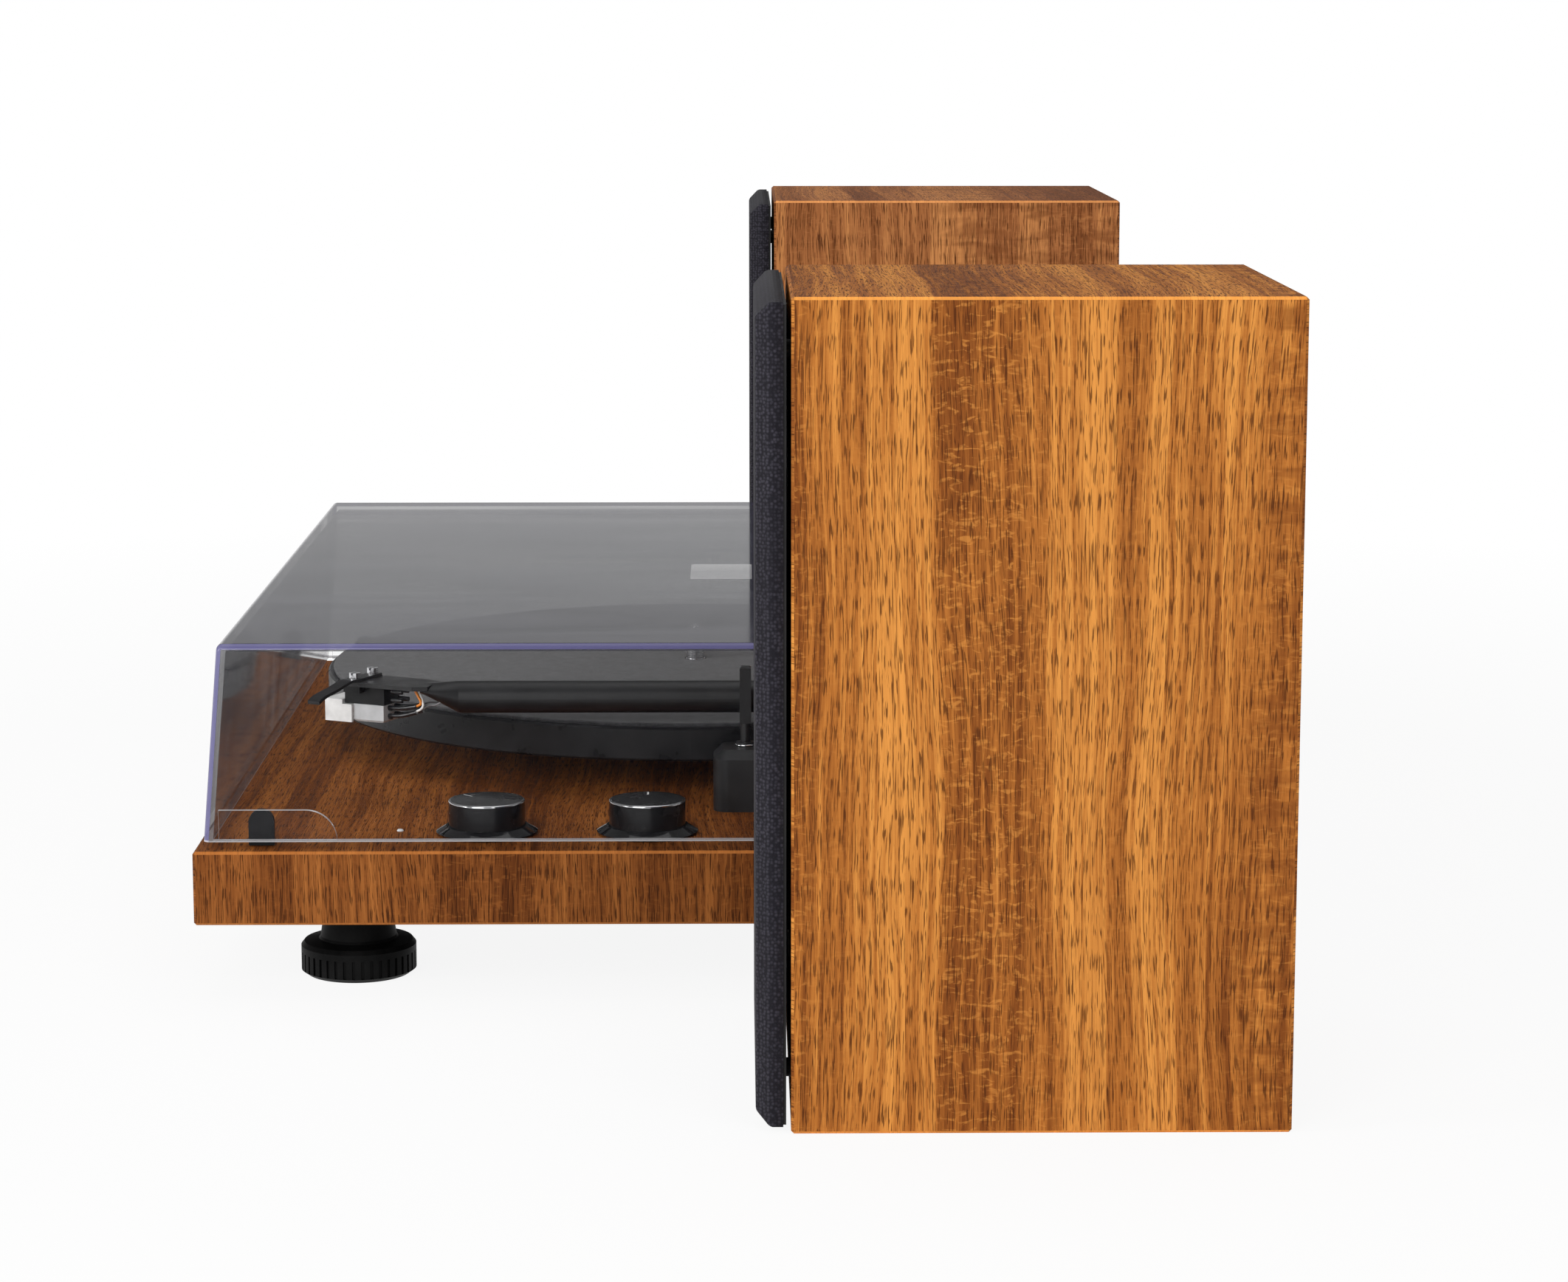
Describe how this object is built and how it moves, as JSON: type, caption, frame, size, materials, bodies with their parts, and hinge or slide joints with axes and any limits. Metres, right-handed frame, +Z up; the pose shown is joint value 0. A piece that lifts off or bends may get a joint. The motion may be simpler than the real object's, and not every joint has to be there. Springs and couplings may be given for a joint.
{
  "type": "record player with speakers",
  "caption": "Belt-drive record player with a straight tonearm under a hinged clear dust cover, between a pair of walnut bookshelf speakers with black cloth grilles.",
  "frame": {"origin": "on the table, at the middle of the whole set", "axes": "+Z up, -Y the front with the listener, +X the side with the tonearm"},
  "size_m": [0.74, 0.364, 0.26],
  "materials": {
    "walnut": "satin lacquer",
    "baffle_board": "matt black paint",
    "clear_acrylic": "polished, lightly smoked",
    "clear_strip": "polished",
    "black_gloss": "gloss",
    "black_plastic": "fine matt",
    "black_rubber": "matt",
    "platter_metal": "black satin",
    "felt": "felt",
    "grille_fabric": "knitted",
    "steel": "bright",
    "black_steel": "satin black",
    "chrome": "mirror",
    "brass": "turned",
    "gold": "plated",
    "lamp_lens": "clear",
    "board": "coated",
    "paper_cone": "matt",
    "light_grey": "satin",
    "white_plastic": "satin",
    "wire_sleeve": "satin"
  },
  "bodies": {
    "base": {"arm_base": "black_gloss", "arm_pillar": "steel", "arm_rest": "black_plastic", "bottom_cover": "black_steel", "bottom_screws": "black_steel", "cabinet_left": "walnut", "cabinet_right": "walnut", "control_board": "board", "drive_belt": "black_rubber", "hinge_brackets": "chrome", "hinge_pins": "steel", "knob_bezels": "black_gloss", "motor": "steel", "phono_jacks": "gold", "plinth": "walnut", "port_tubes": "black_plastic", "potentiometers": "steel", "power_inlet": "black_plastic", "power_lamp": "lamp_lens", "rear_panel": "black_steel", "speaker_baffles": "baffle_board", "speaker_posts": "gold", "spindle_bearing": "brass", "terminal_cups": "black_plastic", "terminal_posts": "gold", "tweeters": "black_plastic", "woofer_cones": "paper_cone", "woofer_frames": "black_steel"},
    "cover": {"dust_cover": "clear_acrylic", "cover_tabs": "clear_strip", "cover_bumpers": "black_rubber", "cover_hinge_leaves": "chrome"},
    "platter": {"platter": "platter_metal", "platter_mat": "felt", "sub_platter": "black_plastic", "spindle": "steel"},
    "pulley": {"motor_pulley": "brass"},
    "arm_yoke": {"arm_yoke": "black_steel"},
    "arm": {"arm_tube": "black_steel", "arm_block": "black_steel", "cartridge": "black_plastic", "stylus_holder": "light_grey", "stylus_guard": "white_plastic", "headshell_screws": "steel", "finger_lift": "black_steel", "cartridge_wires": "wire_sleeve"},
    "counterweight": {"counterweight": "black_steel"},
    "cue_lever": {"cue_lever": "black_plastic"},
    "cue_lift": {"cue_lift": "black_steel"},
    "anti_skate_dial": {"anti_skate_dial": "black_plastic"},
    "volume_knob": {"volume_knob": "black_plastic"},
    "tone_knob": {"tone_knob": "black_plastic"},
    "foot_front_right": {"foot_front_right": "black_plastic"},
    "foot_front_left": {"foot_front_left": "black_plastic"},
    "foot_rear_right": {"foot_rear_right": "black_plastic"},
    "foot_rear_left": {"foot_rear_left": "black_plastic"},
    "grille_left": {"grille_frame_left": "black_plastic", "grille_cloth_left": "grille_fabric"},
    "grille_right": {"grille_frame_right": "black_plastic", "grille_cloth_right": "grille_fabric"}
  },
  "joints": [
    {"name": "cover_hinge", "type": "hinge", "parent": "base", "child": "cover", "pos_m": [0, 0.173, 0.056], "axis": [-1, 0, 0], "range_deg": [0, 65]},
    {"name": "platter_spin", "type": "hinge", "parent": "base", "child": "platter", "pos_m": [-0.038, -0.008, 0.07], "axis": [0, 0, 1], "continuous": true},
    {"name": "pulley_spin", "type": "hinge", "parent": "base", "child": "pulley", "pos_m": [-0.098, 0.062, 0.06], "axis": [0, 0, 1], "continuous": true},
    {"name": "arm_swing", "type": "hinge", "parent": "base", "child": "arm_yoke", "pos_m": [0.1147, 0.046, 0.093], "axis": [0, 0, -1], "range_deg": [0, 50]},
    {"name": "arm_pitch", "type": "hinge", "parent": "arm_yoke", "child": "arm", "pos_m": [0.1147, 0.046, 0.093], "axis": [-1, 0, 0], "range_deg": [0, 3]},
    {"name": "counterweight_turn", "type": "hinge", "parent": "arm", "child": "counterweight", "pos_m": [0.1147, 0.08, 0.093], "axis": [0, 1, 0], "continuous": true},
    {"name": "cue_lever_turn", "type": "hinge", "parent": "base", "child": "cue_lever", "pos_m": [0.1365, 0.058, 0.0675], "axis": [-1, 0, 0], "range_deg": [0, 35]},
    {"name": "cue_lift_rise", "type": "slide", "parent": "base", "child": "cue_lift", "axis": [0, 0, 1], "range_m": [0, 0.00116]},
    {"name": "anti_skate_turn", "type": "hinge", "parent": "base", "child": "anti_skate_dial", "pos_m": [0.1285, 0.032, 0.08], "axis": [0, 0, -1], "range_deg": [0, 270]},
    {"name": "volume_turn", "type": "hinge", "parent": "base", "child": "volume_knob", "pos_m": [0.171, -0.0806, 0.06], "axis": [0, 0, -1], "range_deg": [0, 270]},
    {"name": "tone_turn", "type": "hinge", "parent": "base", "child": "tone_knob", "pos_m": [0.171, -0.023, 0.06], "axis": [0, 0, -1], "range_deg": [-45, 225]},
    {"name": "foot_front_right_turn", "type": "hinge", "parent": "base", "child": "foot_front_right", "pos_m": [0.16, -0.1284, 0.02], "axis": [0, 0, 1], "continuous": true},
    {"name": "foot_front_left_turn", "type": "hinge", "parent": "base", "child": "foot_front_left", "pos_m": [-0.16, -0.1284, 0.02], "axis": [0, 0, 1], "continuous": true},
    {"name": "foot_rear_right_turn", "type": "hinge", "parent": "base", "child": "foot_rear_right", "pos_m": [0.16, 0.1144, 0.02], "axis": [0, 0, 1], "continuous": true},
    {"name": "foot_rear_left_turn", "type": "hinge", "parent": "base", "child": "foot_rear_left", "pos_m": [-0.16, 0.1144, 0.02], "axis": [0, 0, 1], "continuous": true},
    {"name": "grille_left_pull", "type": "slide", "parent": "base", "child": "grille_left", "axis": [0, -1, 0], "range_m": [0, 0.03]},
    {"name": "grille_right_pull", "type": "slide", "parent": "base", "child": "grille_right", "axis": [0, -1, 0], "range_m": [0, 0.03]}
  ],
  "couplings": [
    {"joint": "pulley_spin", "follows": "platter_spin", "ratio": 9},
    {"joint": "arm_pitch", "follows": "cue_lever_turn", "ratio": 0.085714},
    {"joint": "cue_lift_rise", "follows": "cue_lever_turn", "m_per_rad": 0.0018874}
  ]
}
